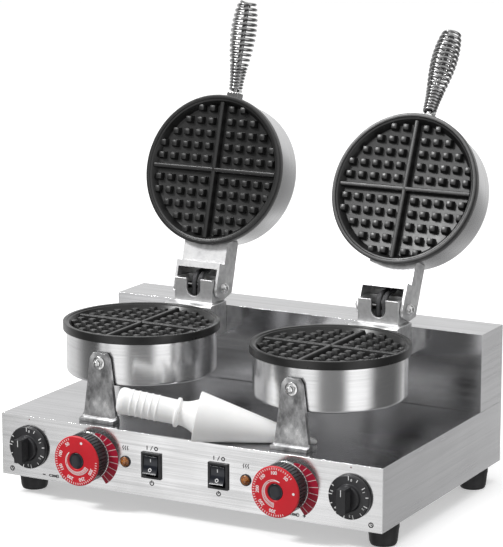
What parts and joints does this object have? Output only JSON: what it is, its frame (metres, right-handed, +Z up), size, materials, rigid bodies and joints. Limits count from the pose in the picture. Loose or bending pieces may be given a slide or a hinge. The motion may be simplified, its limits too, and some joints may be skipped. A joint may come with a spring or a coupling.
{
  "type": "double waffle cone baker",
  "caption": "Countertop electric baker with a pair of round hinged grid heads, coil handles, front controls and a loose cone-shaping roller.",
  "frame": {"origin": "on the bench, under the middle of the outline", "axes": "+Z up, +X to the right along the control panel as a person facing it sees it, +Y from the control panel to the back"},
  "size_m": [0.5, 0.5026, 0.5583],
  "materials": {
    "brushed_stainless": "bright brushed stainless sheet",
    "cast_aluminium": "sand-cast aluminium, tumbled",
    "bright_wire": "bright plated steel",
    "seasoned_iron": "dark seasoned cast iron",
    "heating_element": "oxidised sheathed element",
    "black_rubber": "matt moulded rubber",
    "black_plastic": "satin moulded plastic",
    "red_dial": "glossy printed red",
    "amber_lens": "clear amber lens",
    "white_nylon": "turned white nylon",
    "phenolic": "beige moulded phenolic",
    "braided_conduit": "fine wire braid over glass sleeving"
  },
  "bodies": {
    "machine": {"base_shell": "brushed_stainless", "control_panel": "brushed_stainless", "bottom_cover": "brushed_stainless", "rear_housing": "brushed_stainless", "rear_cover": "brushed_stainless", "foot_front_left": "black_rubber", "foot_front_right": "black_rubber", "foot_rear_left": "black_rubber", "foot_rear_right": "black_rubber", "cable_gland": "black_plastic", "terminal_block": "phenolic", "left_timer_body": "phenolic", "left_thermostat_body": "phenolic", "left_switch_housing": "black_plastic", "left_heat_lamp": "amber_lens", "left_lower_casing": "brushed_stainless", "left_lower_plate": "seasoned_iron", "left_lower_heater": "heating_element", "left_strut": "cast_aluminium", "left_strut_bolt": "bright_wire", "left_hinge_base": "cast_aluminium", "left_hinge_pin": "bright_wire", "left_lid_cable_a": "braided_conduit", "left_lid_cable_b": "braided_conduit", "right_timer_body": "phenolic", "right_thermostat_body": "phenolic", "right_switch_housing": "black_plastic", "right_heat_lamp": "amber_lens", "right_lower_casing": "brushed_stainless", "right_lower_plate": "seasoned_iron", "right_lower_heater": "heating_element", "right_strut": "cast_aluminium", "right_strut_bolt": "bright_wire", "right_hinge_base": "cast_aluminium", "right_hinge_pin": "bright_wire", "right_lid_cable_a": "braided_conduit", "right_lid_cable_b": "braided_conduit"},
    "left_lid": {"left_hinge_arm": "cast_aluminium", "left_upper_casing": "brushed_stainless", "left_upper_plate": "seasoned_iron", "left_upper_heater": "heating_element", "left_handle_rod": "bright_wire", "left_handle_coil": "bright_wire"},
    "left_timer": {"left_timer_knob": "black_plastic"},
    "left_thermostat": {"left_thermostat_knob": "black_plastic", "left_thermostat_dial": "red_dial"},
    "left_switch": {"left_rocker": "black_plastic"},
    "right_lid": {"right_hinge_arm": "cast_aluminium", "right_upper_casing": "brushed_stainless", "right_upper_plate": "seasoned_iron", "right_upper_heater": "heating_element", "right_handle_rod": "bright_wire", "right_handle_coil": "bright_wire"},
    "right_timer": {"right_timer_knob": "black_plastic"},
    "right_thermostat": {"right_thermostat_knob": "black_plastic", "right_thermostat_dial": "red_dial"},
    "right_switch": {"right_rocker": "black_plastic"},
    "cone_roller": {"cone_form": "white_nylon", "cone_handle": "white_nylon"}
  },
  "joints": [
    {"name": "left_lid_hinge", "type": "hinge", "parent": "machine", "child": "left_lid", "pos_m": [-0.1262, 0.0565, 0.216], "axis": [1, 0, 0], "range_deg": [0, 106.5], "deforming": ["left_lid_cable_a", "left_lid_cable_b"]},
    {"name": "right_lid_hinge", "type": "hinge", "parent": "machine", "child": "right_lid", "pos_m": [0.1262, 0.0565, 0.216], "axis": [1, 0, 0], "range_deg": [0, 114], "deforming": ["right_lid_cable_a", "right_lid_cable_b"]},
    {"name": "left_timer_turn", "type": "hinge", "parent": "machine", "child": "left_timer", "pos_m": [-0.211, -0.2055, 0.0627], "axis": [0, 1, 0], "range_deg": [0, 300]},
    {"name": "left_thermostat_turn", "type": "hinge", "parent": "machine", "child": "left_thermostat", "pos_m": [-0.13, -0.2055, 0.0627], "axis": [0, 1, 0], "range_deg": [0, 270]},
    {"name": "left_switch_rock", "type": "hinge", "parent": "machine", "child": "left_switch", "pos_m": [-0.044, -0.2025, 0.0627], "axis": [1, 0, 0], "range_deg": [0, 18]},
    {"name": "right_timer_turn", "type": "hinge", "parent": "machine", "child": "right_timer", "pos_m": [0.211, -0.2055, 0.0627], "axis": [0, 1, 0], "range_deg": [0, 300]},
    {"name": "right_thermostat_turn", "type": "hinge", "parent": "machine", "child": "right_thermostat", "pos_m": [0.13, -0.2055, 0.0627], "axis": [0, 1, 0], "range_deg": [0, 270]},
    {"name": "right_switch_rock", "type": "hinge", "parent": "machine", "child": "right_switch", "pos_m": [0.044, -0.2025, 0.0627], "axis": [1, 0, 0], "range_deg": [0, 18]},
    {"name": "roller_slide", "type": "slide", "parent": "machine", "child": "cone_roller", "axis": [-0.9219, -0.3875, 0], "range_m": [0, 0.15]}
  ]
}
